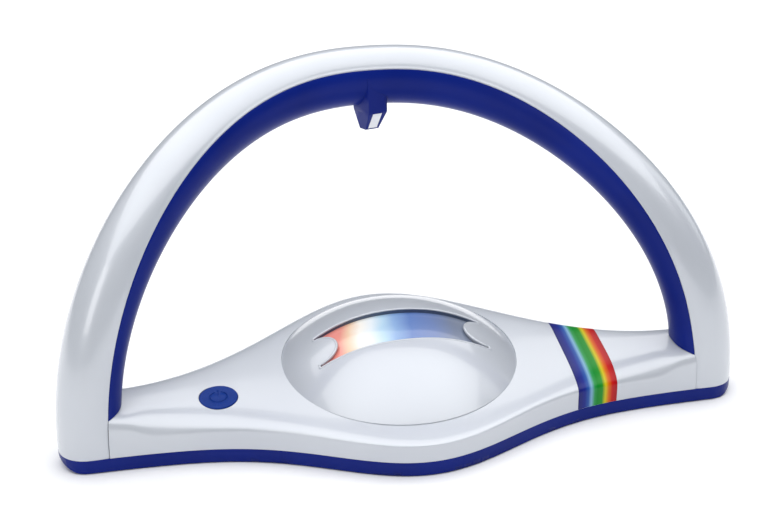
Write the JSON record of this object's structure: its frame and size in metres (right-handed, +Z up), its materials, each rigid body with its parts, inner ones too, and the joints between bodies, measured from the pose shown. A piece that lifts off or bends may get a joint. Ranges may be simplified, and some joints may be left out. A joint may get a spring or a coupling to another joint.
{
  "type": "microchip scanner",
  "caption": "Desk-standing loop scanner for animal microchips: boat-shaped base with a domed display cover and power button under a swept round arch.",
  "frame": {"origin": "on the table, in the middle of the object's overall length and depth, just behind the middle of the dome", "axes": "+Z up, -Y towards the user, +X towards the arm with the rainbow band"},
  "size_m": [0.34, 0.1563, 0.1697],
  "materials": {
    "white_plastic": "glossy, faintly pearly",
    "blue_plastic": "glossy cobalt blue",
    "button_plastic": "satin blue",
    "clear_window": "clear, colour-shifting",
    "slate_plastic": "satin slate",
    "display_glass": "dark display glass",
    "circuit_board": "green solder mask",
    "chip_plastic": "black moulded packages",
    "rainbow_print": "gloss print in seven colour stripes",
    "copper_wire": "enamelled copper",
    "lead_sleeve": "grey sleeve",
    "nylon": "natural nylon",
    "lens_plastic": "milky white",
    "steel": "bright zinc",
    "cell_sleeve": "printed metal can, no markings",
    "rubber": "soft matt"
  },
  "bodies": {
    "scanner": {"top_shell": "white_plastic", "rainbow_band": "rainbow_print", "arch_outer_shell": "white_plastic", "arch_inner_liner": "blue_plastic", "bottom_shell": "blue_plastic", "dome_cover": "white_plastic", "display_window": "clear_window", "display_frame": "slate_plastic", "slot_lip": "slate_plastic", "display_panel": "display_glass", "display_board": "circuit_board", "button_spring": "steel", "button_switch": "chip_plastic", "button_board": "circuit_board", "main_board": "circuit_board", "board_chips": "chip_plastic", "buzzer": "chip_plastic", "antenna_winding": "copper_wire", "winding_clips": "nylon", "pod_lead": "lead_sleeve", "pod_housing": "blue_plastic", "pod_lens": "lens_plastic", "pod_board": "circuit_board", "battery_cells": "cell_sleeve", "battery_contacts": "steel", "case_screws": "steel", "anchor_screws": "steel", "board_screws": "steel", "arch_anchors": "nylon", "foot_pads": "rubber"},
    "button": {"power_button": "button_plastic"},
    "door": {"battery_door": "blue_plastic"}
  },
  "joints": [
    {"name": "power_button_press", "type": "slide", "parent": "scanner", "child": "button", "axis": [0, 0.1255, -0.9921], "range_m": [0, 0.001], "stiffness_N_per_m": 600, "springref_m": -0.002, "deforming": ["button_spring"]},
    {"name": "battery_door_slide", "type": "slide", "parent": "scanner", "child": "door", "axis": [0, -1, 0], "range_m": [0, 0.012]}
  ]
}
